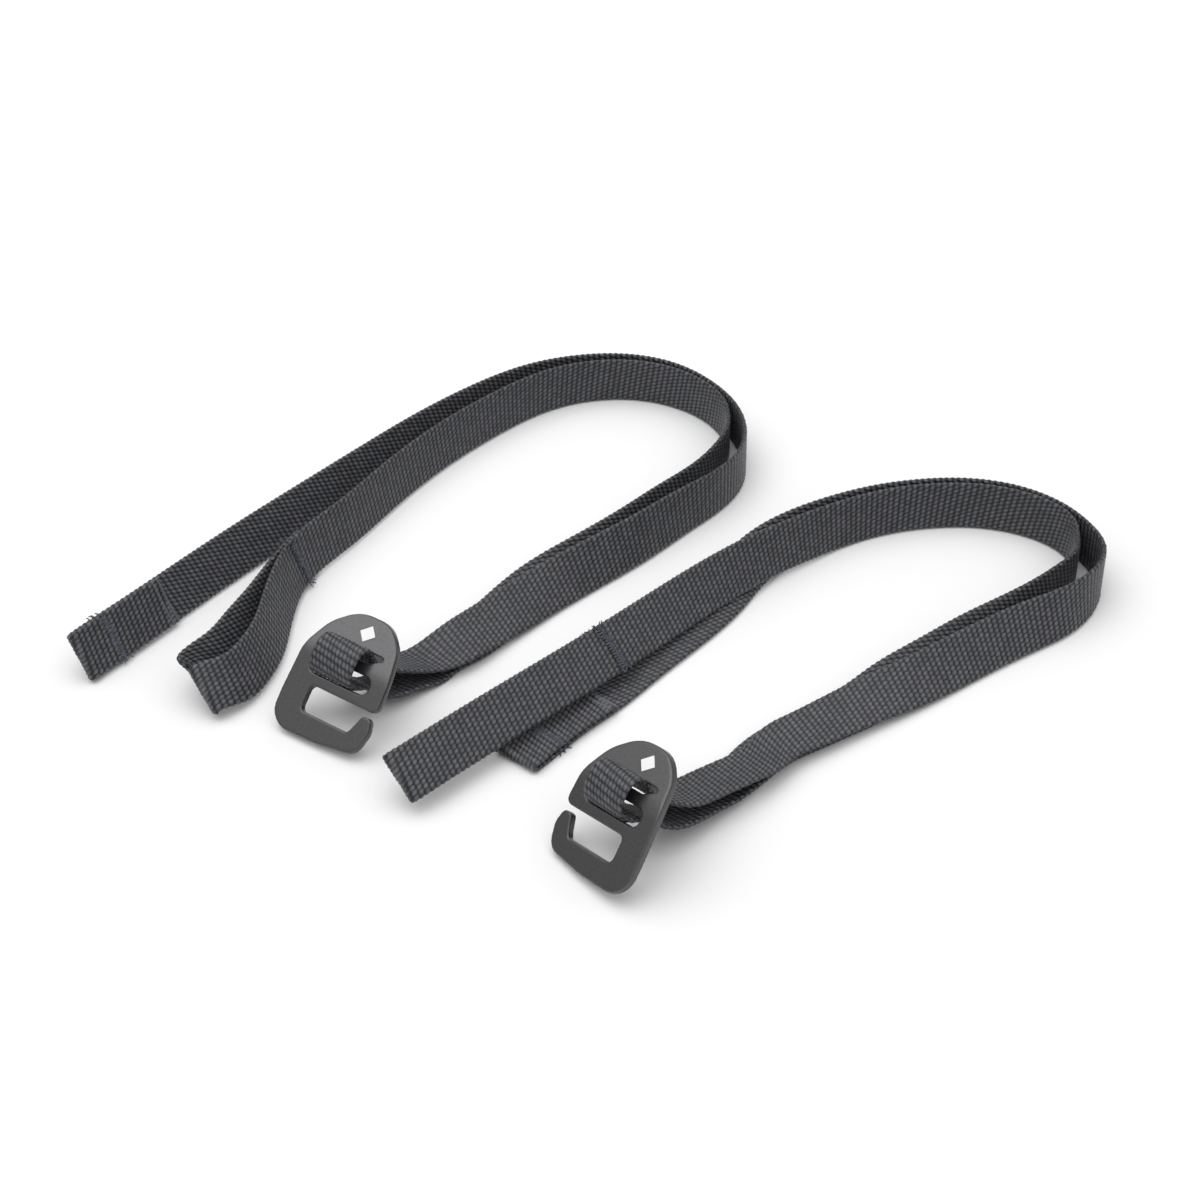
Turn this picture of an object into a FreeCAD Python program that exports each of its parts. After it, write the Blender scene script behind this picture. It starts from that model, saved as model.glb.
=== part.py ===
import FreeCAD, Part
import math
import os
from FreeCAD import Vector as V

# Two lash straps of narrow woven webbing, each with a flat metal G-hook
# threaded on it.  Millimetres, +Z up, the straps lie on the plane z = 0 and
# the origin is under the middle of the pair.

os.makedirs("parts", exist_ok=True)
doc = FreeCAD.newDocument("lash_straps")

# ---------------------------------------------------------------- sizes
SIZES = [
    ("webbing_width", 15.0), ("webbing_thickness", 1.5),
    ("hook_thickness", 2.4), ("hook_width", 32.0), ("hook_head_run", 19.0),
    ("hook_bend_angle", 20.0), ("hook_bend_radius", 16.0), ("hook_flat_length", 21.0),
    ("wrap_radius", 3.35), ("bar_along", 24.1), ("bar_depth", -0.3), ("wrap_offset", -2.4),
    ("tack_length", 4.6), ("tack_thickness", 0.35), ("tack_width", 13.4),
    ("layer_gap", 0.06),
    ("badge_length", 3.8), ("badge_thickness", 0.2),
]
sheet = doc.addObject("Spreadsheet::Sheet", "Sizes")
for row, (alias, value) in enumerate(SIZES, start=1):
    sheet.set("A%d" % row, alias)
    sheet.set("B%d" % row, repr(value))
    sheet.setAlias("B%d" % row, alias)
doc.recompute()
S = {alias: float(getattr(sheet, alias)) for alias, value in SIZES}
WIDE, THICK = S["webbing_width"], S["webbing_thickness"]
LAYER = THICK + S["layer_gap"]
SECTION_STEP = 6.5      # between the sections of a ribbon
WRAP_END = 3.4          # straight webbing on either side of the half round
TURN_A, TURN_B = 2.2, 1.15      # inner radii of the turns at the ends of the loops
TACK_LIFT = 0.07        # of a bar tack off the webbing

# the middle of the pair, taken off every station below
MIDDLE = V(-0.15, -6.01, -0.08)

# ---------------------------------------------------------------- stations
# Each strap is one ribbon.  A station is the near edge x, y, its lift above
# the plane, and the lean of the width from upright in degrees, positive to the
# left of the direction of travel.  The first run goes from the hemmed tail
# round the outside of the bend to the back of the hook.
TAIL_A = [(-147, -39, 0, 30), (-136, -24, 0, 31), (-120, -2, 0, 30), (-103, 21, 0, 28),
          (-89, 39, 0, 26), (-72, 61, 0, 22)]
OUTER_A = [(-56, 81, 0, 18), (-40, 98, 0, 14), (-22, 112, 0, 10), (-6, 118, 0, 7), (9, 119, 0, 5),
           (24, 114, 0, 4), (36, 103, 0, 3), (44, 89, 0, 2), (47, 73, 0, 0)]
TOP_A = [(45, 60, 0, -3), (39, 49, 0, -7), (28, 36, 0, -16), (15, 21, 0, -26), (0, 6, 0, -37),
         (-12, -6, 0.2, -51), (-21, -16, 0.7, -58), (-29, -25, 1.6, -66), (-35, -32, 2.5, -71)]
UNDER_A = [(-41, -36, 0.3, 86), (-35, -30.5, 0.2, 80), (-28.5, -23, 0.1, 72), (-14.5, -3.5, 0, 56),
           (-2.5, 9, 0, 38), (10, 24, 0, 22), (21, 39, 0, 12), (31, 52, 0, 6), (38, 65, 0, 2)]
INNER_A = [(41, 74, 0, 0), (42, 83, 0, 0), (40, 93, 0, -2), (34, 103, 0, -2), (24, 111, 0, -3),
           (8, 115.5, 0, -4), (-14, 110, 0, -7), (-33, 94, 0, -11), (-49, 75, 0, -15)]
RUN_A = [(-64, 52, 0.1, -18), (-78, 27, 0.4, -21), (-88.5, 8.5, 0.8, -23)]
FRONT_A = [(-91.3, -3, 0.8, -24), (-92.3, -18, 0.6, -28), (-93.2, -30.5, 0.7, -31),
           (-95.8, -41.0, 0.9, -34), (-100.6, -50.8, 1.5, -38), (-107.4, -57.0, 2.7, -42)]
BACK_A = [(-110.2, -48.5, 1.3, 41), (-107.0, -38, 0.2, 34), (-102.8, -28, 0, 30), (-98.8, -17, 0, 27),
          (-95.2, -6, 0, 25)]

TAIL_B = [(-17, -80, 0, 90), (-6, -66, 0, 90), (5, -54, 0, 89), (17, -39, 0, 85),
          (31, -22, 0, 78), (42, -7, 0, 67), (54, 13, 0, 46)]
OUTER_B = [(69, 27, 0, 25), (79, 33, 0, 19), (89, 37.5, 0, 15), (98, 40, 0, 13), (112, 41.8, 0, 10),
           (127, 39.4, 0, 8), (141, 30.6, 0, 6), (149, 19, 0, 4), (152, 8, 0, 2)]
TOP_B = [(150.5, -1, 0, -3), (139, -18, 0, -24), (128, -26, 0, -36), (116, -34.5, 0, -42),
         (105, -42.9, 0.1, -48), (94, -51.3, 0.6, -57), (79, -61.3, 1.8, -73), (70, -67.4, 2.4, -80),
         (61, -73.6, 3.0, -85), (55, -78.0, 3.5, -89)]
UNDER_B = [(50, -81, 1.2, 89), (55, -76, 0.7, 86), (61, -71.7, 0.3, 82), (70, -65.5, 0, 78),
           (79, -59.3, 0, 71), (87, -52, 0, 61), (98, -42.8, 0, 48), (110, -32, 0, 36), (121, -22, 0, 23),
           (131, -12, 0, 13), (139, -2, 0, 5)]
INNER_B = [(144, 6, 0, 1), (145.5, 14, 0, 0), (145, 21, 0, -3), (140, 29, 0, -6), (130, 35.5, 0, -8),
           (119, 38.5, 0, -10), (107, 38.5, 0, -12), (94, 36, 0, -14)]
RUN_B = [(77, 28.3, 0, -18), (66, 20.2, 0.7, -22), (53, 8.8, 2.1, -27), (31, -14.4, 3.5, -42),
         (8, -40, 4.6, -50)]
FRONT_B = [(-14, -63, 5.4, -51), (-36, -84.5, 5.0, -51), (-49, -97, 4.4, -51)]

# ---------------------------------------------------------------- hook frames
# The origin of a hook frame is the middle of the hook's foot; its axes run
# across the plate, along it from the foot to the head, and out of its face.
class Frame:
    def __init__(self, foot, across, along):
        self.o = V(*foot)
        self.x = V(*across).normalize()
        y = V(*along)
        self.z = self.x.cross(y).normalize()
        self.y = self.z.cross(self.x).normalize()

    def at(self, p):
        return self.o + self.x * p[0] + self.y * p[1] + self.z * p[2]

    def placement(self):
        m = FreeCAD.Matrix(self.x.x, self.y.x, self.z.x, self.o.x - MIDDLE.x,
                           self.x.y, self.y.y, self.z.y, self.o.y - MIDDLE.y,
                           self.x.z, self.y.z, self.z.z, self.o.z - MIDDLE.z,
                           0, 0, 0, 1)
        return FreeCAD.Placement(m)


HOOK_A = Frame((-80.3, -68.0, 1.4), (0.815, -0.579, -0.006), (0.404, 0.561, 0.722))
HOOK_B = Frame((-4.2, -122.9, 1.75), (0.647, -0.749, 0.145), (0.429, 0.514, 0.743))

# the webbing behind each hook, in that hook's frame: centre of the width
ARRIVE_A = [(4.7, 31.6, -28.4), (2.3, 28.9, -21.6), (0.2, 26.9, -14.5), (-1.8, 26.0, -8.0)]
LEAVE_A = [(-1.7, 19.3, -8.0), (0.4, 19.0, -13.5), (2.4, 21.0, -18.5), (3.8, 24.9, -24.5),
           (5.2, 28.2, -30.4)]
ARRIVE_B = [(-0.8, 44.8, -47.0), (-0.2, 41.0, -41.3), (0.1, 37.0, -34.9), (0.5, 32.7, -28.2),
            (0.6, 29.0, -22.3), (0.3, 26.9, -15.8), (-1.6, 26.0, -8.5)]
LEAVE_B = [(-1.5, 19.3, -8.5), (0.8, 20.2, -15.0), (1.3, 24.0, -22.8), (0.2, 28.4, -30.0),
           (-0.7, 33.2, -37.2)]


# ---------------------------------------------------------------- ribbon maths
def edge_stations(rows):
    """Near-edge stations to (centre, width direction)."""
    out = []
    for i, (x, y, z, lean) in enumerate(rows):
        a = rows[max(i - 1, 0)]
        b = rows[min(i + 1, len(rows) - 1)]
        t = V(b[0] - a[0], b[1] - a[1], 0).normalize()
        left = V(-t.y, t.x, 0)
        r = math.radians(lean)
        w = V(0, 0, 1) * math.cos(r) + left * math.sin(r)
        lift = z + 0.5 * THICK * abs(math.sin(r))
        out.append((V(x, y, lift) + w * (0.5 * WIDE), w))
    return out


def hook_stations(frame, rows):
    return [(frame.at(p), frame.x * -1.0) for p in rows]


def curve(a, b, c, d, u):
    return (b * 2 + (c - a) * u + (a * 2 - b * 5 + c * 4 - d) * u ** 2
            + (a * -1 + b * 3 - c * 3 + d) * u ** 3) * 0.5


def smooth(stations, step):
    """Even sections through the stations; returns them and each station's place."""
    out, marks = [], []
    n = len(stations)
    for i in range(n):
        marks.append(len(out))
        if i == n - 1:
            out.append(stations[i])
            break
        pts = [stations[max(i - 1, 0)], stations[i], stations[i + 1], stations[min(i + 2, n - 1)]]
        gap = (pts[2][0] - pts[1][0]).Length
        k = max(1, int(round(gap / step)))
        for j in range(k):
            u = j / float(k)
            c = curve(pts[0][0], pts[1][0], pts[2][0], pts[3][0], u)
            w = curve(pts[0][1], pts[1][1], pts[2][1], pts[3][1], u).normalize()
            out.append((c, w))
    return out, marks


def faces(sections):
    """(centre, width, face normal) for each section."""
    out = []
    for i, (c, w) in enumerate(sections):
        a = sections[max(i - 1, 0)][0]
        b = sections[min(i + 1, len(sections) - 1)][0]
        t = (b - a).normalize()
        out.append((c, w, w.cross(t).normalize()))
    return out


def wrap(frame):
    """The webbing over the bar: back of the head slot to back of the lower slot."""
    y0, z0, r, x = S["bar_along"], S["bar_depth"], S["wrap_radius"], S["wrap_offset"]
    pts = [(x, y0 + r, z0 - WRAP_END), (x, y0 + r, z0)]
    for deg in (22.5, 45, 67.5, 90, 112.5, 135, 157.5):
        g = math.radians(deg)
        pts.append((x, y0 + r * math.cos(g), z0 + r * math.sin(g)))
    pts += [(x, y0 - r, z0), (x, y0 - r, z0 - WRAP_END)]
    return hook_stations(frame, pts)


def fold(last, way, radius, side):
    """Half a turn about the width at the end of a loop, towards side."""
    c, w = last
    t = (way - w * way.dot(w)).normalize()
    m = w.cross(t).normalize() * side
    out = []
    for deg in (30, 60, 90, 120, 150, 180):
        g = math.radians(deg)
        out.append((c + t * (radius * math.sin(g)) + m * (radius * (1 - math.cos(g))), w))
    return out


# ---------------------------------------------------------------- solids
NODES = []


def section(name, c, w, n, wide, thick):
    """A bound rectangle: its length along the width, its width along the normal."""
    p = doc.addObject("Part::Plane", name)
    p.setExpression("Length", "Sizes." + wide)
    p.setExpression("Width", "Sizes." + thick)
    t = w.cross(n).normalize()
    n = t.cross(w).normalize()
    o = c - w * (0.5 * S[wide]) - n * (0.5 * S[thick]) - MIDDLE
    m = FreeCAD.Matrix(w.x, n.x, t.x, o.x, w.y, n.y, t.y, o.y, w.z, n.z, t.z, o.z, 0, 0, 0, 1)
    p.Placement = FreeCAD.Placement(m)
    return p


def ribbon(label, rows, wide="webbing_width", thick="webbing_thickness"):
    parts = [section("%s_section_%02d" % (label, i), c, w, n, wide, thick)
             for i, (c, w, n) in enumerate(rows)]
    loft = doc.addObject("Part::Loft", label)
    loft.Sections = parts
    loft.Solid = True
    loft.Ruled = True
    loft.Closed = False
    loft.Label = label
    NODES.append(loft)
    return loft


def shifted(rows, off):
    return [(c + n * off, w, n) for c, w, n in rows]


def round_wrap(label, frame):
    """The webbing over the bar: half a tube about the bar and two straight ends."""
    y0, z0, x = S["bar_along"], S["bar_depth"], S["wrap_offset"]
    spot = frame.placement()

    def tube(name, grow):
        c = doc.addObject("Part::Cylinder", name)
        c.setExpression("Radius", "Sizes.wrap_radius %s Sizes.webbing_thickness / 2" % grow)
        c.setExpression("Height", "Sizes.webbing_width")
        # cylinder axis along the bar, cut at the middle of the plate
        turn = FreeCAD.Placement(V(x - WIDE / 2, y0, z0), FreeCAD.Rotation(V(0, 1, 0), 90))
        c.Placement = spot * turn
        return c

    outer_t, inner_t = tube(label + "_outer", "+"), tube(label + "_inner", "-")
    ring = doc.addObject("Part::Cut", label + "_ring")
    ring.Base, ring.Tool = outer_t, inner_t
    front = doc.addObject("Part::Box", label + "_front")
    front.setExpression("Length", "Sizes.webbing_width")
    front.Width, front.Height = 20, 10
    front.Placement = spot * FreeCAD.Placement(V(x - WIDE / 2, y0 - 10, z0), FreeCAD.Rotation())
    half = doc.addObject("Part::Common", label + "_half")
    half.Base, half.Tool = ring, front
    ends = []
    for s in (1, -1):
        e = doc.addObject("Part::Box", label + ("_up" if s > 0 else "_down"))
        e.setExpression("Length", "Sizes.webbing_width")
        e.setExpression("Width", "Sizes.webbing_thickness")
        e.Height = WRAP_END
        e.Placement = spot * FreeCAD.Placement(
            V(x - WIDE / 2, y0 + s * S["wrap_radius"] - THICK / 2, z0 - WRAP_END), FreeCAD.Rotation())
        ends.append(e)
    whole = doc.addObject("Part::MultiFuse", label)
    whole.Shapes = [half] + ends
    whole.Refine = True
    whole.Label = label
    NODES.append(whole)


def strap(key, frame, tail, outer, top, arrive, leave, under, inner, run, front, back, side,
          flap_side, hem):
    """All the webbing of one strap."""
    first = edge_stations(tail + outer + top)
    rows = first + hook_stations(frame, arrive)
    band = wrap(frame)
    second = edge_stations(under + inner + run + front)
    inside = hook_stations(frame, leave) + second

    # tail end to the back of the hook
    out_sec, out_mark = smooth(rows + band[:2], SECTION_STEP)
    out_face = faces(out_sec)
    i_tail = out_mark[len(tail) - 1]
    i_outer = out_mark[len(tail) + len(outer) - 1]
    i_top = out_mark[len(rows)]
    wrap_face = faces(band)
    out_face[i_top] = wrap_face[0]
    ribbon("tail_run_" + key, out_face[:i_tail + 1])
    ribbon("outer_bend_" + key, out_face[i_tail:i_outer + 1])
    ribbon("top_leg_" + key, out_face[i_outer:i_top + 1])
    round_wrap("hook_wrap_" + key, frame)

    # back of the hook to the end of the loop
    in_sec, in_mark = smooth(band[-2:] + inside, SECTION_STEP)
    in_face = faces(in_sec)
    in_face[in_mark[1]] = wrap_face[-1]
    a = in_mark[1]
    b = in_mark[2 + len(leave) + len(under) - 1]
    c = in_mark[2 + len(leave) + len(under) + len(inner) - 1]
    d = in_mark[2 + len(leave) + len(under) + len(inner) + len(run) - 1]
    e = in_mark[-1]
    ribbon("under_leg_" + key, in_face[a:b + 1])
    ribbon("inner_bend_" + key, in_face[b:c + 1])
    ribbon("loop_run_" + key, in_face[c:d + 1])

    # loop: near leg, turn and far leg
    way = in_sec[e][0] - in_sec[e - 1][0]
    if back:
        turn = fold(in_sec[e], way, TURN_A, side)
        far = edge_stations(back)
        close = [(in_sec[k][0] + in_face[k][2] * (side * LAYER), in_sec[k][1])
                 for k in (d, d - 1)]
        far_sec, far_mark = smooth([turn[-1]] + far + close, SECTION_STEP)
    else:
        turn = fold(in_sec[e], way, TURN_B, side)
        close = []
        for k in range(e - 1, d - 2, -1):
            close.append((in_sec[k][0] + in_face[k][2] * (side * LAYER), in_sec[k][1]))
        far_sec, far_mark = smooth([turn[-1]] + close, SECTION_STEP)
    loop_sec = in_sec[d:e + 1] + turn[:3]
    both = faces(in_sec[d - 1:e + 1] + turn[:-1] + far_sec)[1:]
    cut = len(loop_sec) - 1
    both[0] = in_face[d]
    ribbon("loop_near_" + key, both[:cut + 1])
    ribbon("loop_far_" + key, both[cut:])

    # the hem: the tail turned over on itself
    hem_rows = shifted(out_face[:hem], flap_side * LAYER)
    ribbon("tail_hem_" + key, hem_rows)

    # bar tacks across the width
    def tack(label, rows_, k, off):
        c0, w0, _ = rows_[k]
        c1 = rows_[k + 1][0]
        t = (c1 - c0).normalize()
        mid = (c0 + c1) * 0.5
        half = 0.5 * S["tack_length"]
        nn = w0.cross(t).normalize()
        lift = off * (0.5 * THICK + 0.5 * S["tack_thickness"] + TACK_LIFT)
        ends = []
        for s in (-1, 1):
            ends.append((mid + t * (s * half) + nn * lift, w0, nn))
        ribbon(label, ends, "tack_width", "tack_thickness")
    tack("tail_tack_" + key, hem_rows, 1, flap_side)
    tack("loop_tack_" + key, in_face, d, -side)


strap("a", HOOK_A, TAIL_A, OUTER_A, TOP_A, ARRIVE_A, LEAVE_A, UNDER_A, INNER_A, RUN_A, FRONT_A,
      BACK_A, -1, -1, 6)
strap("b", HOOK_B, TAIL_B, OUTER_B, TOP_B, ARRIVE_B, LEAVE_B, UNDER_B, INNER_B, RUN_B, FRONT_B,
      None, -1, -1, 6)


# ---------------------------------------------------------------- hooks
def rounded(corners):
    """Closed run of lines and arcs through corners (x, y, radius)."""
    n = len(corners)
    cuts = []
    for i in range(n):
        x, y, r = corners[i]
        p = V(x, y, 0)
        a = (V(corners[i - 1][0], corners[i - 1][1], 0) - p).normalize()
        b = (V(corners[(i + 1) % n][0], corners[(i + 1) % n][1], 0) - p).normalize()
        half = 0.5 * a.getAngle(b)
        reach = r / math.tan(half)
        mid = p + (a + b).normalize() * (r / math.sin(half) - r)
        cuts.append((p + a * reach, mid, p + b * reach, r))
    out = []
    for i in range(n):
        start, mid, end, r = cuts[i]
        if r > 0:
            out.append(Part.Arc(start, mid, end))
        nxt = cuts[(i + 1) % n][0]
        if (nxt - end).Length > 1e-6:
            out.append(Part.LineSegment(end, nxt))
    return out


# outline of the G, foot at y = 0, spine on the -x side, mouth on the +x side
OUTLINE = [(-16.1, -0.9, 6.8), (1.0, -0.6, 30.0), (14.4, 1.2, 4.6), (16.3, 8.2, 3.6), (15.1, 12.3, 1.5),
           (12.1, 12.1, 1.1), (10.3, 7.6, 2.0), (9.4, 6.1, 0.7), (-7.6, 6.1, 1.7), (-7.6, 13.9, 1.7),
           (16.0, 13.9, 2.2), (15.6, 23.6, 18.0), (12.3, 32.4, 11.0), (5.6, 38.3, 11.0),
           (-5.6, 38.3, 11.0), (-12.3, 32.4, 11.0), (-15.6, 23.6, 18.0), (-16.2, 10.0, 40.0)]
LOWER_SLOT = [(-10.4, 17.2, 2.0), (10.3, 17.2, 2.3), (10.3, 22.4, 2.3), (-10.4, 22.4, 0.6)]
UPPER_SLOT = [(-10.5, 25.8, 0.7), (6.0, 25.8, 0.6), (7.9, 26.8, 1.0), (10.2, 28.0, 0.3),
              (9.4, 28.9, 0.4), (-10.5, 28.9, 0.7)]


def flip(corners, k):
    if k > 0:
        return corners
    return [(-x, y, r) for x, y, r in reversed(corners)]


def plane(body, role):
    return [f for f in body.Origin.OriginFeatures if f.Role == role][0]


def add_sketch(body, name, role, curves):
    sk = body.newObject("Sketcher::SketchObject", name)
    sk.AttachmentSupport = [(plane(body, role), "")]
    sk.MapMode = "FlatFace"
    sk.addGeometry(curves, False)
    return sk


def through(body, name, sk):
    p = body.newObject("PartDesign::Pocket", name)
    p.Profile = sk
    p.Type = 1
    p.Midplane = True
    return p


def hook(key, frame, k):
    body = doc.addObject("PartDesign::Body", "g_hook_" + key)
    body.Label = "g_hook_" + key
    # side of the plate: flat, then bent back towards the head
    t, flat, rad = S["hook_thickness"], S["hook_flat_length"], S["hook_bend_radius"]
    bend = math.radians(S["hook_bend_angle"])

    def pt(y, z):
        return V(y, z, 0)

    def side(off):
        r = rad + off
        a = pt(flat, off)
        m = pt(flat + r * math.sin(bend / 2), r * math.cos(bend / 2) - rad)
        b = pt(flat + r * math.sin(bend), r * math.cos(bend) - rad)
        e = b + pt(math.cos(bend), -math.sin(bend)) * S["hook_head_run"]
        return a, m, b, e

    up, dn = side(t / 2), side(-t / 2)
    curves = [Part.LineSegment(pt(-3, -t / 2), pt(-3, t / 2)), Part.LineSegment(pt(-3, t / 2), up[0]),
              Part.Arc(up[0], up[1], up[2]), Part.LineSegment(up[2], up[3]),
              Part.LineSegment(up[3], dn[3]), Part.LineSegment(dn[3], dn[2]),
              Part.Arc(dn[2], dn[1], dn[0]), Part.LineSegment(dn[0], pt(-3, -t / 2))]
    sk = add_sketch(body, "plate_side_" + key, "YZ_Plane", curves)
    pad = body.newObject("PartDesign::Pad", "plate_" + key)
    pad.Profile = sk
    pad.Midplane = True
    pad.setExpression("Length", "Sizes.hook_width + 6")
    doc.recompute()
    edge = [(-30, -10, 0), (30, -10, 0), (30, 60, 0), (-30, 60, 0)]
    sk = add_sketch(body, "outline_" + key, "XY_Plane", rounded(edge) + rounded(flip(OUTLINE, k)))
    through(body, "trim_" + key, sk)
    doc.recompute()
    sk = add_sketch(body, "slots_" + key, "XY_Plane",
                    rounded(LOWER_SLOT) + rounded(UPPER_SLOT))
    through(body, "slot_cut_" + key, sk)
    doc.recompute()
    body.Placement = frame.placement()
    doc.recompute()
    NODES.append(body)


hook("a", HOOK_A, 1)
hook("b", HOOK_B, -1)


# a small plain lozenge on the head of each plate
def badge(key, frame, across):
    side = S["badge_length"]
    b = doc.addObject("Part::Box", "hook_badge_" + key)
    b.Label = "hook_badge_" + key
    b.setExpression("Length", "Sizes.badge_length")
    b.setExpression("Width", "Sizes.badge_length")
    b.setExpression("Height", "Sizes.badge_thickness")
    bend = math.radians(S["hook_bend_angle"])
    rad, flat, t = S["hook_bend_radius"], S["hook_flat_length"], S["hook_thickness"]
    ys = flat + (rad + t / 2) * math.sin(bend)
    zs = (rad + t / 2) * math.cos(bend) - rad
    run = 6.8
    local = (across, ys + run * math.cos(bend), zs - run * math.sin(bend))
    ax = frame.x
    ay = (frame.y * math.cos(bend) - frame.z * math.sin(bend)).normalize()
    az = ax.cross(ay)
    u = (ax + ay).normalize()
    v = az.cross(u)
    o = frame.at(local) - u * (side / 2) - v * (side / 2) - MIDDLE
    m = FreeCAD.Matrix(u.x, v.x, az.x, o.x, u.y, v.y, az.y, o.y, u.z, v.z, az.z, o.z, 0, 0, 0, 1)
    b.Placement = FreeCAD.Placement(m)
    NODES.append(b)


badge("a", HOOK_A, 0.9)
badge("b", HOOK_B, 1.8)
doc.recompute()

# ---------------------------------------------------------------- check, write
for obj in doc.Objects:
    if any(word in ("Invalid", "Error") for word in obj.State):
        raise RuntimeError("%s failed: %s" % (obj.Name, obj.State))
box = FreeCAD.BoundBox()
for obj in NODES:
    shape = obj.Shape
    if shape.isNull() or not shape.isValid() or len(shape.Solids) != 1:
        raise RuntimeError("%s: bad shape, %d solids" % (obj.Label, len(shape.Solids)))
    box.add(shape.BoundBox)
for obj in NODES:
    obj.Shape.exportStep("parts/%s.step" % obj.Label)
print("nodes", len(NODES), "box", box)
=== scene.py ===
import math
import bpy
import bmesh
import numpy as np
from mathutils import Vector, Matrix


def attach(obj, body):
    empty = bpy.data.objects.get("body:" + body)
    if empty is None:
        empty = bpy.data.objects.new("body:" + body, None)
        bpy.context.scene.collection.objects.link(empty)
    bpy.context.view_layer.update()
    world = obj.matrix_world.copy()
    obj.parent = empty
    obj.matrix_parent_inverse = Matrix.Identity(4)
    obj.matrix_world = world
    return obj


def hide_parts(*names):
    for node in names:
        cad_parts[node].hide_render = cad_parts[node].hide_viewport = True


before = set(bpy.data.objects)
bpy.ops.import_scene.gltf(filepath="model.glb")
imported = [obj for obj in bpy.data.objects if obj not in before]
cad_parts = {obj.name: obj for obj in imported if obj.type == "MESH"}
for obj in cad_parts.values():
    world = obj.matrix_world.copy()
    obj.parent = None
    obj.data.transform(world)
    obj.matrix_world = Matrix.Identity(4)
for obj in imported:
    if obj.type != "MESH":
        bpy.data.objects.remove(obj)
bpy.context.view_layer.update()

# Two woven webbing straps with flat G-hooks.  Stations and hook frames are in
# millimetres about the middle of the pair; everything built here is in metres.
MIDDLE = np.array((-0.15, -6.01, -0.08))
MM = 0.001
WIDE, THICK, LAYER = 15.0, 1.5, 1.56     # webbing, and the pitch of two layers of it
STEP = 0.36             # between the rings of a ribbon
WRAP_OFFSET = -1.8      # of the webbing from the middle of the bar
TURN_A, TURN_B = 1.4, 1.15      # radii of the turns at the ends of the loops
TACK_FROM_TAIL = 11.5
FACE = 0.66             # from the mid-plane of the webbing to its face
STRAND = 0.19           # radius of a tack thread

TAIL_A = [(-147, -39, 0, 30), (-136, -24, 0, 31), (-120, -2, 0, 30), (-103, 21, 0, 28),
          (-89, 39, 0, 26), (-72, 61, 0, 22)]
OUTER_A = [(-56, 81, 0, 18), (-40, 98, 0, 14), (-22, 112, 0, 10), (-6, 118, 0, 7), (9, 119, 0, 5),
           (24, 114, 0, 4), (36, 103, 0, 3), (44, 89, 0, 2), (47, 73, 0, 0)]
TOP_A = [(45, 60, 0, -3), (39, 49, 0, -7), (28, 36, 0, -16), (15, 21, 0, -26), (0, 6, 0, -37),
         (-12, -6, 0.2, -51), (-21, -16, 0.7, -58), (-29, -25, 1.6, -66), (-35, -32, 2.5, -71)]
UNDER_A = [(-41, -36, 0.3, 86), (-35, -30.5, 0.2, 80), (-28.5, -23, 0.1, 72), (-14.5, -3.5, 0, 56),
           (-2.5, 9, 0, 38), (10, 24, 0, 22), (21, 39, 0, 12), (31, 52, 0, 6), (38, 65, 0, 2)]
INNER_A = [(41, 74, 0, 0), (42, 83, 0, 0), (40, 93, 0, -2), (34, 103, 0, -2), (24, 111, 0, -3),
           (8, 115.5, 0, -4), (-14, 110, 0, -7), (-33, 94, 0, -11), (-49, 75, 0, -15)]
RUN_A = [(-64, 52, 0.1, -18), (-78, 27, 0.4, -21), (-88.5, 8.5, 0.8, -23)]
FRONT_A = [(-91.3, -3, 0.8, -24), (-92.3, -18, 0.6, -28), (-93.2, -30.5, 0.7, -31),
           (-95.8, -41.0, 0.9, -34), (-100.6, -50.8, 1.5, -40), (-107.4, -57.0, 2.7, -49)]
BACK_A = [(-109.5, -49.4, 1.4, 41), (-107.0, -38, 0.2, 34), (-102.8, -28, 0, 30), (-98.8, -17, 0, 27),
          (-95.2, -6, 0, 25)]
TAIL_B = [(-17, -80, 0, 90), (-6, -66, 0, 90), (5, -54, 0, 89), (17, -39, 0, 85),
          (31, -22, 0, 78), (42, -7, 0, 67), (54, 13, 0, 46)]
OUTER_B = [(69, 27, 0, 25), (79, 33, 0, 19), (89, 37.5, 0, 15), (98, 40, 0, 13), (112, 41.8, 0, 10),
           (127, 39.4, 0, 8), (141, 30.6, 0, 6), (149, 19, 0, 4), (152, 8, 0, 2)]
TOP_B = [(150.5, -1, 0, -3), (139, -18, 0, -24), (128, -26, 0, -36), (116, -34.5, 0, -42),
         (105, -42.9, 0.1, -48), (94, -51.3, 0.6, -57), (79, -61.3, 1.8, -73), (70, -67.4, 2.4, -80),
         (61, -73.6, 3.0, -85), (55, -78.0, 3.5, -89)]
UNDER_B = [(50, -81, 1.2, 89), (55, -76, 0.7, 86), (61, -71.7, 0.3, 82), (70, -65.5, 0, 78),
           (79, -59.3, 0, 71), (87, -52, 0, 61), (98, -42.8, 0, 48), (110, -32, 0, 36), (121, -22, 0, 23),
           (131, -12, 0, 13), (139, -2, 0, 5)]
INNER_B = [(144, 6, 0, 1), (145.5, 14, 0, 0), (145, 21, 0, -3), (140, 29, 0, -6), (130, 35.5, 0, -8),
           (119, 38.5, 0, -10), (107, 38.5, 0, -12), (94, 36, 0, -14)]
RUN_B = [(77, 28.3, 0, -18), (66, 20.2, 0.7, -22), (53, 8.8, 2.1, -27), (31, -14.4, 3.5, -42),
         (8, -40, 4.6, -50)]
FRONT_B = [(-14, -63, 5.4, -51), (-36, -84.5, 5.0, -51), (-49, -97, 4.4, -51)]
ARRIVE_A = [(4.7, 31.6, -28.4), (2.3, 28.9, -21.6), (0.2, 26.9, -14.5), (-1.8, 26.0, -8.0)]
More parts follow.
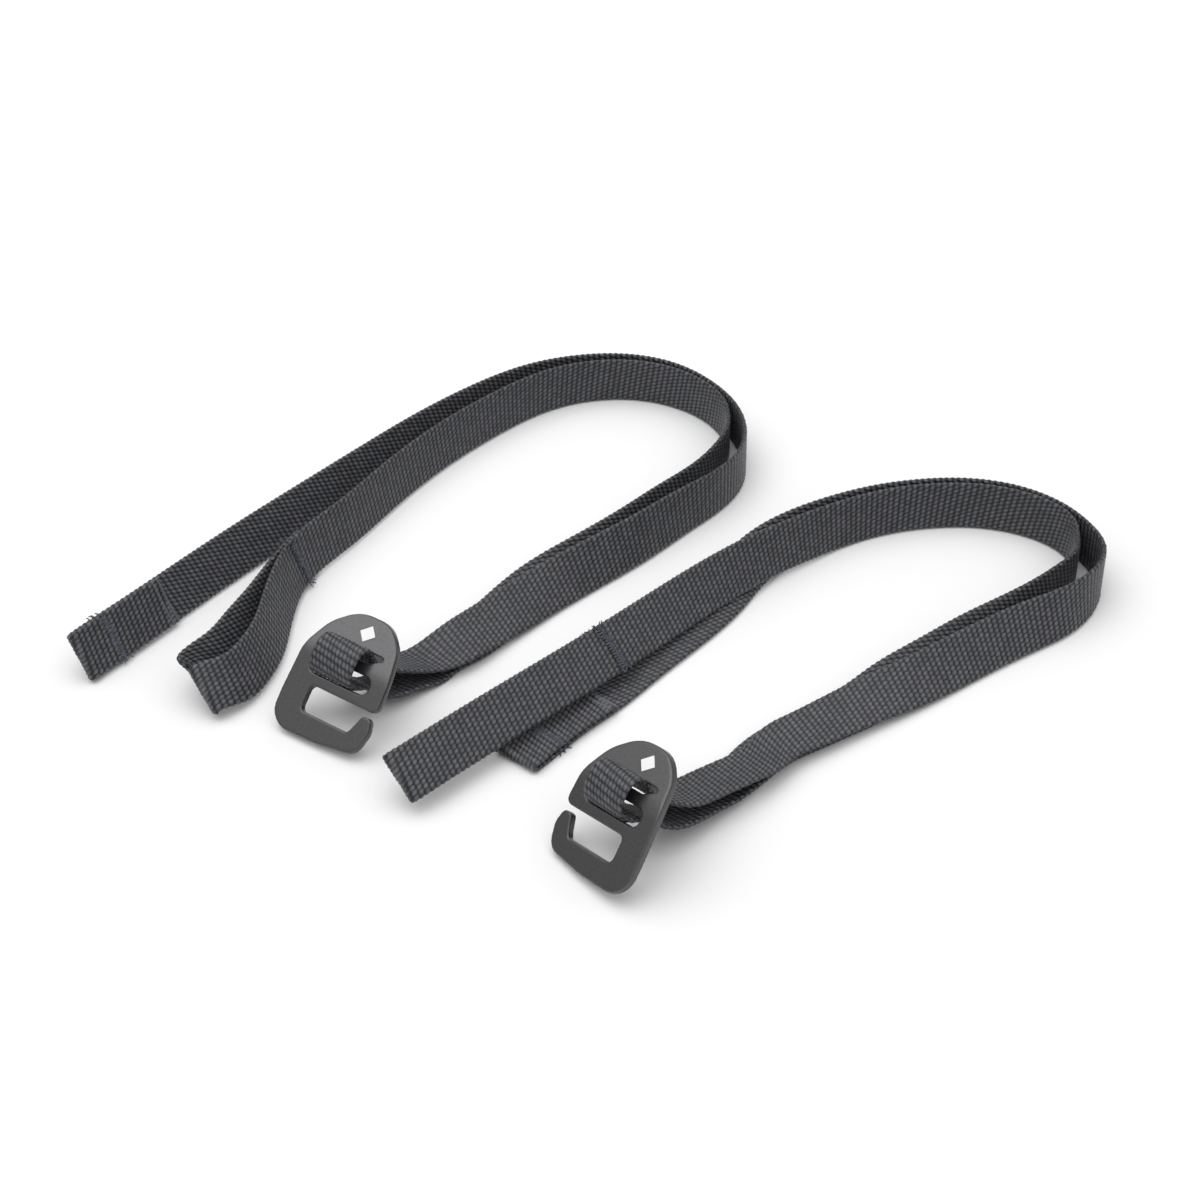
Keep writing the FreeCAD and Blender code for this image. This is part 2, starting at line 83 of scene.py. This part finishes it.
LEAVE_A = [(-1.7, 19.3, -8.0), (0.4, 19.0, -13.5), (2.4, 21.0, -18.5), (3.8, 24.9, -24.5),
           (5.2, 28.2, -30.4)]
ARRIVE_B = [(-0.8, 44.8, -47.0), (-0.2, 41.0, -41.3), (0.1, 37.0, -34.9), (0.5, 32.7, -28.2),
            (0.6, 29.0, -22.3), (0.3, 26.9, -15.8), (-1.6, 26.0, -8.5)]
LEAVE_B = [(-1.5, 19.3, -8.5), (0.8, 20.2, -15.0), (1.3, 24.0, -22.8), (0.2, 28.4, -30.0),
           (-0.7, 33.2, -37.2)]
# the webbing over the bar: along the plate and out of it
OVER = [(27.2, -4.6), (28.5, -1.8), (29.1, 0.6), (28.5, 2.9), (26.6, 4.3), (23.7, 4.7),
        (20.7, 4.2), (18.7, 2.8), (18.0, 0.7), (18.1, -1.8), (18.9, -4.8)]


def unit(v):
    return v / np.linalg.norm(v)


class Hook:
    """A hook's frame: across the plate, along it from the foot, and out of its face."""
    def __init__(self, foot, across, along):
        self.o = np.array(foot, float)
        self.x = unit(np.array(across, float))
        self.z = unit(np.cross(self.x, np.array(along, float)))
        self.y = np.cross(self.z, self.x)

    def at(self, p):
        return self.o + self.x * p[0] + self.y * p[1] + self.z * p[2]


HOOK_A = Hook((-80.3, -68.0, 1.4), (0.815, -0.579, -0.006), (0.404, 0.561, 0.722))
HOOK_B = Hook((-4.2, -122.9, 1.75), (0.647, -0.749, 0.145), (0.429, 0.514, 0.743))


def edge(rows):
    """Near-edge stations (x, y, lift, lean in degrees) to (centre, width direction)."""
    out = []
    for i, (x, y, z, lean) in enumerate(rows):
        a, b = rows[max(i - 1, 0)], rows[min(i + 1, len(rows) - 1)]
        t = unit(np.array((b[0] - a[0], b[1] - a[1], 0.0)))
        left = np.array((-t[1], t[0], 0.0))
        r = math.radians(lean)
        w = np.array((0, 0, math.cos(r))) + left * math.sin(r)
        out.append((np.array((x, y, z + 0.5 * THICK * abs(math.sin(r)))) + w * (0.5 * WIDE), w))
    return out


def behind(hook, rows):
    return [(hook.at(p), -hook.x) for p in rows]


def half_turn(last, way, radius, side):
    """Half a turn about the width at the end of a loop."""
    c, w = last
    t = unit(way - w * np.dot(way, w))
    m = unit(np.cross(w, t)) * side
    return [(c + t * (radius * math.sin(g)) + m * (radius * (1 - math.cos(g))), w)
            for g in [math.radians(d) for d in (30, 60, 90, 120, 150, 180)]]


def spline(knots, values):
    """Natural cubic through values at knots; returns a sampler."""
    n = len(knots)
    h = np.diff(knots)
    a = np.zeros((n, n))
    r = np.zeros((n, values.shape[1]))
    a[0, 0] = a[-1, -1] = 1
    for i in range(1, n - 1):
        a[i, i - 1], a[i, i], a[i, i + 1] = h[i - 1], 2 * (h[i - 1] + h[i]), h[i]
        r[i] = 6 * ((values[i + 1] - values[i]) / h[i] - (values[i] - values[i - 1]) / h[i - 1])
    m = np.linalg.solve(a, r)

    def sample(x):
        i = np.clip(np.searchsorted(knots, x) - 1, 0, n - 2)
        d = (x - knots[i])[:, None]
        hh = h[i][:, None]
        s = (values[i + 1] - values[i]) / hh - hh * (2 * m[i] + m[i + 1]) / 6
        return values[i] + s * d + m[i] / 2 * d ** 2 + (m[i + 1] - m[i]) / (6 * hh) * d ** 3
    return sample


class Path:
    """A strap's centre line with its width direction and face normal, by length."""
    def __init__(self, stations, step):
        c = np.array([s[0] for s in stations])
        w = np.array([s[1] for s in stations])
        gaps = np.maximum(np.linalg.norm(np.diff(c, axis=0), axis=1), 1e-3)
        knots = np.concatenate(([0], np.cumsum(gaps)))
        fine = np.linspace(0, knots[-1], int(knots[-1] / 0.15))
        cf, wf = spline(knots, c)(fine), spline(knots, w)(fine)
        run = np.concatenate(([0], np.cumsum(np.linalg.norm(np.diff(cf, axis=0), axis=1))))
        self.length = run[-1]
        self.marks = np.interp(knots, fine, run)
        s = np.linspace(0, run[-1], int(round(run[-1] / step)) + 1)
        self.s = s
        self.c = np.stack([np.interp(s, run, cf[:, k]) for k in range(3)], 1)
        w = np.stack([np.interp(s, run, wf[:, k]) for k in range(3)], 1)
        self.w = w / np.linalg.norm(w, axis=1)[:, None]
        t = np.gradient(self.c, axis=0)
        t /= np.linalg.norm(t, axis=1)[:, None]
        n = np.cross(self.w, t)
        self.n = n / np.linalg.norm(n, axis=1)[:, None]
        self.t = np.cross(self.n, self.w)

    def at(self, s, v, h):
        """World points (metres) at length s, width v and height h off the mid-plane."""
        f = lambda a: np.stack([np.interp(s, self.s, a[:, k]) for k in range(3)], -1)
        p = f(self.c) + f(self.w) * np.asarray(v)[..., None] + f(self.n) * np.asarray(h)[..., None]
        return (p - MIDDLE) * MM


def build(name, verts, faces, weave, uv):
    """A smooth mesh of quads with the weave's height, which the webbing material turns into painted shade
    in the grooves and painted highlight on the tops, and a UV map.
    """
    me = bpy.data.meshes.new(name)
    me.vertices.add(len(verts))
    me.vertices.foreach_set("co", np.asarray(verts, np.float32).ravel())
    faces = np.asarray(faces, np.int32)
    k = faces.shape[1]
    me.loops.add(faces.size)
    me.loops.foreach_set("vertex_index", faces.ravel())
    me.polygons.add(len(faces))
    me.polygons.foreach_set("loop_start", np.arange(len(faces), dtype=np.int32) * k)
    me.polygons.foreach_set("loop_total", np.full(len(faces), k, np.int32))
    me.update(calc_edges=True)
    me.validate()
    a = me.attributes.new("weave", "FLOAT", "POINT")
    a.data.foreach_set("value", np.asarray(weave, np.float32))
    layer = me.uv_layers.new(name="UVMap")
    idx = np.zeros(len(me.loops), np.int32)
    me.loops.foreach_get("vertex_index", idx)
    layer.data.foreach_set("uv", np.asarray(uv, np.float32)[idx].ravel())
    me.polygons.foreach_set("use_smooth", np.full(len(me.polygons), True))
    ob = bpy.data.objects.new(name, me)
    bpy.context.scene.collection.objects.link(ob)
    return ob


# ---------------------------------------------------------------- the weave
RIB = 1.87      # between ribs along the strap
FLOAT = 1.4     # between floats across it


def relief(s, v, flip):
    """Height 0..1 of the yarn at length s and width v: short floats lying
    across the strap in ribs, each rib set half a float from the last."""
    u = s / RIB + (0.5 if flip else 0.0) + 0.03 * np.sin(s * 0.31) + 0.10 * v / FLOAT
    col = np.floor(u)
    a = u - col - 0.5
    g = v / FLOAT + 0.5 * np.mod(col, 2)
    cell = np.floor(g)
    b = g - cell - 0.5
    a = a + 0.22 * b
    jig = np.sin(col * 12.9898 + cell * 78.233) * 43758.5453
    jig = jig - np.floor(jig)
    dome = np.clip(1 - (2 * np.abs(a)) ** 2.4, 0, 1) ** 0.8
    ends = np.clip(1 - (2 * np.abs(b)) ** 3, 0, 1) ** 0.8
    return dome * (0.22 + 0.78 * ends) * (0.80 + 0.20 * jig)


def strap_mesh(name, path, columns=58):
    """One closed ribbon with the weave on both faces and scalloped edges."""
    s = path.s
    v = np.linspace(-0.5 * WIDE + 0.12, 0.5 * WIDE - 0.12, columns)
    ss, vv = np.meshgrid(s, v, indexing="ij")
    rim = np.clip((np.abs(vv) - (0.5 * WIDE - 0.9)) / 0.8, 0, 1)
    thin = np.sqrt(np.clip(1 - rim ** 2 * 0.9, 0, 1))
    scallop = 0.5 + 0.5 * np.cos(2 * math.pi * ss / RIB)
    top = relief(ss, vv, False)
    bot = relief(ss, vv, True)
    # the heat-cut end is pressed into two hard ridges; they are raised in the weave height too and so
    # take the painted highlight colour
    for at_s in (0.5, 2.5):
        ridge = np.exp(-((ss - at_s) / 0.35) ** 2)
        top = np.maximum(top, 1.1 * ridge)
        bot = np.maximum(bot, 1.1 * ridge)
    lip = 1 + 0.018 * scallop * np.clip((np.abs(vv) - 6.3) / 1.0, 0, 1)
    up = (0.40 + 0.40 * top) * thin
    dn = -(0.40 + 0.40 * bot) * thin
    P = path.at(ss, vv * lip, up)
    Q = path.at(ss, vv * lip, dn)[:, ::-1]
    side_v = 0.5 * WIDE - 0.05 + 0.26 * scallop[:, :1]
    R = path.at(ss[:, :1], side_v, np.zeros_like(side_v))
    L = path.at(ss[:, :1], -side_v, np.zeros_like(side_v))
    ring = np.concatenate((P, R, Q, L), axis=1)
    ring[..., 2] = np.maximum(ring[..., 2], 0.0)
    n, k = ring.shape[:2]
    verts = ring.reshape(-1, 3)
    i = np.arange(n - 1)[:, None] * k
    j = np.arange(k)[None, :]
    jn = (j + 1) % k
    faces = np.stack((i + j, i + jn, i + k + jn, i + k + j), -1).reshape(-1, 4)
    # the yarn height per vertex, kept as the weave attribute for painted shade in the grooves and painted
    # highlight on the tops; the edge columns follow the scallop and the end caps take 0.2, the painted
    # shade colour
    w = np.concatenate((top, 0.5 * scallop[:, :1], bot[:, ::-1], 0.5 * scallop[:, :1]), axis=1)
    uu = np.repeat(s[:, None], k, 1) * 0.01
    across = np.concatenate((v, [7.9], 16 + v, [24.0])) * 0.01
    uv = np.stack((uu, np.repeat(across[None, :], n, 0)), -1).reshape(-1, 2)
    # closed ends
    extra, caps, base = [], [], len(verts)
    for e, row in enumerate((0, n - 1)):
        mid = ring[row].mean(axis=0)
        extra.append(mid)
        for q in range(k):
            a, b = row * k + q, row * k + (q + 1) % k
            caps.append((a, b, base + e, base + e) if e else (b, a, base + e, base + e))
    verts = np.concatenate((verts, np.array(extra)))
    w = np.concatenate((w.ravel(), [0.2, 0.2]))
    uv = np.concatenate((uv, [[0, 0], [0, 0]]))
    ob = build(name, verts, faces, w, uv)
    bm = bmesh.new()
    bm.from_mesh(ob.data)
    bm.verts.ensure_lookup_table()
    lay = bm.loops.layers.uv.active
    for a, b, c, _ in caps:
        f = bm.faces.new((bm.verts[a], bm.verts[b], bm.verts[c]))
        f.smooth = False
        for l in f.loops:
            l[lay].uv = uv[l.vert.index]
    bmesh.ops.recalc_face_normals(bm, faces=bm.faces)
    bm.to_mesh(ob.data)
    bm.free()
    return ob


def tubes(name, lines, radius, sides=6):
    """One mesh of thin round threads along the given polylines (metres)."""
    V, F = [], []
    for pts in lines:
        pts = np.array(pts)
        pts[:, 2] = np.maximum(pts[:, 2], radius)
        t = np.gradient(pts, axis=0)
        t /= np.linalg.norm(t, axis=1)[:, None]
        ref = np.where(np.abs(t[:, 2:3]) > 0.8, np.array([[1.0, 0, 0]]), np.array([[0, 0, 1.0]]))
        a = np.cross(t, ref)
        a /= np.linalg.norm(a, axis=1)[:, None]
        b = np.cross(t, a)
        base = len(V)
        n = len(pts)
        for i in range(n):
            r = radius * (0.6 if i in (0, n - 1) else 1.0)
            for q in range(sides):
                g = 2 * math.pi * q / sides
                V.append(pts[i] + r * (a[i] * math.cos(g) + b[i] * math.sin(g)))
        for i in range(n - 1):
            for q in range(sides):
                o = base + i * sides
                F.append((o + q, o + (q + 1) % sides, o + sides + (q + 1) % sides, o + sides + q))
        V += [pts[0], pts[-1]]
        for q in range(sides):
            F.append((base + (q + 1) % sides, base + q, base + n * sides, base + n * sides))
            o = base + (n - 1) * sides
            F.append((o + q, o + (q + 1) % sides, base + n * sides + 1, base + n * sides + 1))
    me = bpy.data.meshes.new(name)
    me.from_pydata([tuple(p) for p in V], [],
                   [f if f[2] != f[3] else f[:3] for f in F])
    me.polygons.foreach_set("use_smooth", [True] * len(me.polygons))
    ob = bpy.data.objects.new(name, me)
    bpy.context.scene.collection.objects.link(ob)
    return ob


def tack_lines(path, s0, height, down, seed):
    """A bar tack: close zigzag thread over the width, on both outer faces."""
    rng = np.random.RandomState(seed)
    lines = []
    for h, sign in ((height, 1), (down, -1)):
        n = 32
        v = np.linspace(-6.9, 6.7, n) + rng.uniform(-0.12, 0.12, n)
        u = np.where(np.arange(n) % 2 == 0, -1.7, 1.7) + rng.uniform(-0.5, 0.5, n)
        pts = []
        for k in range(n - 1):
            for f in (0.0, 0.25, 0.5, 0.75):
                uu = u[k] * (1 - f) + u[k + 1] * f
                vv = v[k] * (1 - f) + v[k + 1] * f
                lift = 0.36 * math.cos(uu / 2.3 * 1.4) + 0.04 * rng.uniform(-1, 1)
                pts.append((s0 + uu, vv, h + sign * lift))
        pts = np.array(pts)
        lines.append(path.at(pts[:, 0], pts[:, 1], pts[:, 2]))
        # cut ends of the thread
        for v0, dv in ((-6.7, -1.0), (6.5, 1.0)):
            for m in range(4):
                tail = [(s0 + rng.uniform(-1.5, 1.5), v0, h)]
                du, dh = rng.uniform(-0.5, 0.5), rng.uniform(0.05, 0.35) * sign
                for q in range(1, 6):
                    a = tail[-1]
                    tail.append((a[0] + du + rng.uniform(-0.15, 0.15), a[1] + dv * 0.32, a[2] + dh))
                tail = np.array(tail)
                lines.append(path.at(tail[:, 0], tail[:, 1], tail[:, 2]))
    return lines


# ---------------------------------------------------------------- materials
def material(name):
    m = bpy.data.materials.new(name)
    m.use_nodes = True
    nt = m.node_tree
    bsdf = nt.nodes["Principled BSDF"]
    return m, nt, bsdf


def node(nt, kind, **values):
    n = nt.nodes.new(kind)
    for k, v in values.items():
        if k in n.inputs:
            n.inputs[k].default_value = v
        else:
            setattr(n, k, v)
    return n


def fabric(name, low, high, rough):
    m, nt, b = material(name)
    at = node(nt, "ShaderNodeAttribute", attribute_name="weave")
    uv = node(nt, "ShaderNodeUVMap", uv_map="UVMap")
    mp = node(nt, "ShaderNodeMapping")
    mp.inputs["Scale"].default_value = (420, 90, 1)
    fine = node(nt, "ShaderNodeTexNoise", Scale=6.0, Detail=3.0)
    wide = node(nt, "ShaderNodeTexNoise", Scale=14.0, Detail=2.0)
    nt.links.new(uv.outputs["UV"], mp.inputs["Vector"])
    nt.links.new(mp.outputs["Vector"], fine.inputs["Vector"])
    nt.links.new(uv.outputs["UV"], wide.inputs["Vector"])
    # painted shade and highlight: the weave height sets the base colour, near black in the grooves
    # between floats (painted shade) and grey on the float tops (painted highlight)
    ramp = node(nt, "ShaderNodeValToRGB")
    ramp.color_ramp.elements[0].color = (*low, 1)
    ramp.color_ramp.elements[0].position = 0.34
    ramp.color_ramp.elements[1].color = (*high, 1)
    ramp.color_ramp.elements[1].position = 0.95
    nt.links.new(at.outputs["Fac"], ramp.inputs["Fac"])
    mix = node(nt, "ShaderNodeMix", data_type="RGBA", blend_type="MULTIPLY")
    mix.inputs[0].default_value = 0.75
    tone = node(nt, "ShaderNodeMapRange")
    tone.inputs["From Min"].default_value = 0.3
    tone.inputs["From Max"].default_value = 0.7
    tone.inputs["To Min"].default_value = 0.55
    tone.inputs["To Max"].default_value = 1.35
    nt.links.new(fine.outputs["Fac"], tone.inputs["Value"])
    nt.links.new(ramp.outputs["Color"], mix.inputs[6])
    nt.links.new(tone.outputs["Result"], mix.inputs[7])
    mix2 = node(nt, "ShaderNodeMix", data_type="RGBA", blend_type="MULTIPLY")
    mix2.inputs[0].default_value = 0.35
    tone2 = node(nt, "ShaderNodeMapRange")
    tone2.inputs["To Min"].default_value = 0.6
    tone2.inputs["To Max"].default_value = 1.4
    nt.links.new(wide.outputs["Fac"], tone2.inputs["Value"])
    nt.links.new(mix.outputs[2], mix2.inputs[6])
    nt.links.new(tone2.outputs["Result"], mix2.inputs[7])
    nt.links.new(mix2.outputs[2], b.inputs["Base Color"])
    bump = node(nt, "ShaderNodeBump", Strength=0.35, Distance=0.00012)
    nt.links.new(fine.outputs["Fac"], bump.inputs["Height"])
    nt.links.new(bump.outputs["Normal"], b.inputs["Normal"])
    b.inputs["Roughness"].default_value = rough
    b.inputs["Specular IOR Level"].default_value = 0.4
    b.inputs["Sheen Weight"].default_value = 0.06
    b.inputs["Sheen Roughness"].default_value = 0.4
    return m


# low colour: painted shade in the grooves; high colour: painted highlight on the float tops
webbing = fabric("webbing_groove_shade_top_highlight", (0.009, 0.0095, 0.0115), (0.125, 0.127, 0.142), 0.40)


def plain(name, color, rough, metallic, scale, amount, bump_mm):
    m, nt, b = material(name)
    tc = node(nt, "ShaderNodeTexCoord")
    no = node(nt, "ShaderNodeTexNoise", Scale=scale, Detail=4.0)
    nt.links.new(tc.outputs["Object"], no.inputs["Vector"])
    ramp = node(nt, "ShaderNodeValToRGB")
    lo = tuple(c * (1 - amount) for c in color)
    hi = tuple(min(1, c * (1 + amount)) for c in color)
    ramp.color_ramp.elements[0].color = (*lo, 1)
    ramp.color_ramp.elements[0].position = 0.3
    ramp.color_ramp.elements[1].color = (*hi, 1)
    ramp.color_ramp.elements[1].position = 0.7
    nt.links.new(no.outputs["Fac"], ramp.inputs["Fac"])
    nt.links.new(ramp.outputs["Color"], b.inputs["Base Color"])
    bp = node(nt, "ShaderNodeBump", Strength=0.3, Distance=bump_mm * MM)
    nt.links.new(no.outputs["Fac"], bp.inputs["Height"])
    nt.links.new(bp.outputs["Normal"], b.inputs["Normal"])
    b.inputs["Roughness"].default_value = rough
    b.inputs["Metallic"].default_value = metallic
    return m


thread = plain("tack_thread", (0.070, 0.074, 0.100), 0.45, 0.0, 900.0, 0.35, 0.05)
metal = plain("hook_satin_black", (0.100, 0.098, 0.101), 0.28, 0.8, 1600.0, 0.10, 0.02)
white = plain("badge_white", (0.86, 0.86, 0.86), 0.5, 0.0, 500.0, 0.03, 0.01)


# ---------------------------------------------------------------- hooks
def soften(key):
    """The plate with its rims rounded over."""
    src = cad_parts["g_hook_" + key]
    bm = bmesh.new()
    bm.from_mesh(src.data)
    bmesh.ops.remove_doubles(bm, verts=bm.verts, dist=1e-6)
    bmesh.ops.scale(bm, vec=(10, 10, 10), verts=bm.verts)
    me = bpy.data.meshes.new("plate")
    bm.to_mesh(me)
    bm.free()
    ob = bpy.data.objects.new("g_hook_plate_" + key, me)
    bpy.context.scene.collection.objects.link(ob)
    r = ob.modifiers.new("grid", "REMESH")
    r.mode = "VOXEL"
    r.voxel_size = 0.0022
    r.use_smooth_shade = True
    s = ob.modifiers.new("soft", "SMOOTH")
    s.factor = 0.5
    s.iterations = 26
    dg = bpy.context.evaluated_depsgraph_get()
    out = bpy.data.meshes.new_from_object(ob.evaluated_get(dg))
    ob.modifiers.clear()
    ob.data = out
    out.transform(Matrix.Scale(0.1, 4))
    out.polygons.foreach_set("use_smooth", [True] * len(out.polygons))
    out.materials.clear()
    out.materials.append(metal)
    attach(ob, "hook_" + key)
    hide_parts("g_hook_" + key)
    return ob


for key in "ab":
    soften(key)
    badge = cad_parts["hook_badge_" + key]
    badge.data.materials.clear()
    badge.data.materials.append(white)

# ---------------------------------------------------------------- straps
def strap(key, hook, tail, outer, top, arrive, leave, under, inner, run, front, back, seed):
    """All the webbing and tack thread of one strap, hem to hem."""
    first = edge(tail + outer + top) + behind(hook, arrive)
    over = behind(hook, [(WRAP_OFFSET, y, z) for y, z in OVER])
    second = behind(hook, leave) + edge(under + inner + run + front)
    # the hem: from its cut end back to the fold at the tail
    head = Path(first[:5], 1.0)
    flap = []
    for s in (34.0, 28.0, 22.0, 16.0, 10.0, 5.0, 1.6):
        i = int(round(s / (head.s[1] - head.s[0])))
        flap.append((head.c[i] - head.n[i] * LAYER, head.w[i]))
    c0, w0 = first[0]
    t0 = head.t[0]
    n0 = head.n[0]
    bend = [(c0 - n0 * (LAYER / 2) * (1 + math.cos(g)) - t0 * (0.95 * math.sin(g)), w0)
            for g in [math.radians(d) for d in (35, 70, 105, 140)]]
    # the loop
    way = second[-1][0] - second[-2][0]
    k_run = len(second) - len(front) - 1
    if back:
        turn = half_turn(second[-1], way, TURN_A, -1)
        far = edge(back)
    else:
        turn = half_turn(second[-1], way, TURN_B, -1)
        far = []
    loose = Path(second[max(k_run - 2, 0):], 1.0)
    mark = loose.marks[len(second[max(k_run - 2, 0):]) - len(front) - 1]
    close = []
    spots = [mark, mark - 5.0] if back else \
        [loose.length - d for d in (8.0, 18.0, 30.0, 42.0, 54.0)
         if loose.length - d > mark + 4] + [mark, mark - 5.0]
    for s in spots:
        i = int(round(s / (loose.s[1] - loose.s[0])))
        close.append((loose.c[i] - loose.n[i] * LAYER, loose.w[i]))
    stations = flap + bend + first + over + second + turn + far + close
    path = Path(stations, STEP)
    ob = strap_mesh("strap_webbing_" + key, path)
    ob.data.materials.append(webbing)
    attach(ob, "strap_" + key)
    nodes = ["tail_run_", "tail_hem_", "outer_bend_", "top_leg_", "hook_wrap_", "under_leg_",
             "inner_bend_", "loop_run_", "loop_near_", "loop_far_"]
    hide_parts(*[n + key for n in nodes])
    i_tail = len(flap) + len(bend)
    s_tail = path.marks[i_tail] + TACK_FROM_TAIL
    i_loop = i_tail + len(first) + len(over) + k_run
    s_loop = path.marks[i_loop] + 1.0
    lines = tack_lines(path, s_tail, FACE, -(FACE + LAYER), seed)
    t1 = tubes("tail_tack_thread_" + key, lines, STRAND * MM)
    lines = tack_lines(path, s_loop, FACE, -(FACE + LAYER), seed + 5)
    t2 = tubes("loop_tack_thread_" + key, lines, STRAND * MM)
    for t, n in ((t1, "tail_tack_"), (t2, "loop_tack_")):
        t.data.materials.append(thread)
        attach(t, "strap_" + key)
        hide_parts(n + key)
    return ob, path.length, t1, t2


strap_a, length_a, ta1, ta2 = strap("a", HOOK_A, TAIL_A, OUTER_A, TOP_A, ARRIVE_A, LEAVE_A, UNDER_A,
                                  INNER_A, RUN_A, FRONT_A, BACK_A, 3)
strap_b, length_b, tb1, tb2 = strap("b", HOOK_B, TAIL_B, OUTER_B, TOP_B, ARRIVE_B, LEAVE_B, UNDER_B,
                                  INNER_B, RUN_B, FRONT_B, None, 8)
print("strap lengths mm", round(length_a, 1), round(length_b, 1))

# ---------------------------------------------------------------- floor, light
bm = bmesh.new()
bmesh.ops.create_grid(bm, x_segments=8, y_segments=8, size=3.0)
me = bpy.data.meshes.new("floor")
bm.to_mesh(me)
bm.free()
floor = bpy.data.objects.new("floor", me)
floor.location = (0, 0, -0.0002)
bpy.context.scene.collection.objects.link(floor)
fm, nt, b = material("floor_white")
b.inputs["Base Color"].default_value = (0.90, 0.90, 0.90, 1)
b.inputs["Roughness"].default_value = 0.9
me.materials.append(fm)

world = bpy.data.worlds.new("studio")
world.use_nodes = True
world.node_tree.nodes["Background"].inputs[0].default_value = (1, 1, 1, 1)
sky = world.node_tree
tc = node(sky, "ShaderNodeTexCoord")
xyz = node(sky, "ShaderNodeSeparateXYZ")
rise = node(sky, "ShaderNodeMapRange")
for k, value in (("From Min", 0.25), ("From Max", 0.95), ("To Min", 0.42), ("To Max", 1.34)):
    rise.inputs[k].default_value = value
sky.links.new(tc.outputs["Generated"], xyz.inputs["Vector"])
sky.links.new(xyz.outputs["Z"], rise.inputs["Value"])
sky.links.new(rise.outputs["Result"], sky.nodes["Background"].inputs[1])
bpy.context.scene.world = world


def area(name, place, target, size, power):
    light = bpy.data.lights.new(name, "AREA")
    light.shape = "SQUARE"
    light.size = size
    light.energy = power
    ob = bpy.data.objects.new(name, light)
    ob.location = place
    ob.rotation_euler = (Vector(target) - Vector(place)).to_track_quat("-Z", "Y").to_euler()
    bpy.context.scene.collection.objects.link(ob)
    return ob


area("overhead", (-0.30, 0.15, 1.0), (0, 0, 0), 1.0, 3.0)

scene = bpy.context.scene
scene.view_settings.view_transform = "Standard"

# ---------------------------------------------------------------- camera
cam = bpy.data.cameras.new("camera")
cam.lens = 72.0
cam.sensor_width = 36.0
cam.clip_start = 0.01
co = bpy.data.objects.new("camera", cam)
co.location = (0.00015, -0.57919, 0.43308)
co.rotation_euler = (math.radians(90 - 36.5), 0, 0)
scene.collection.objects.link(co)
scene.camera = co
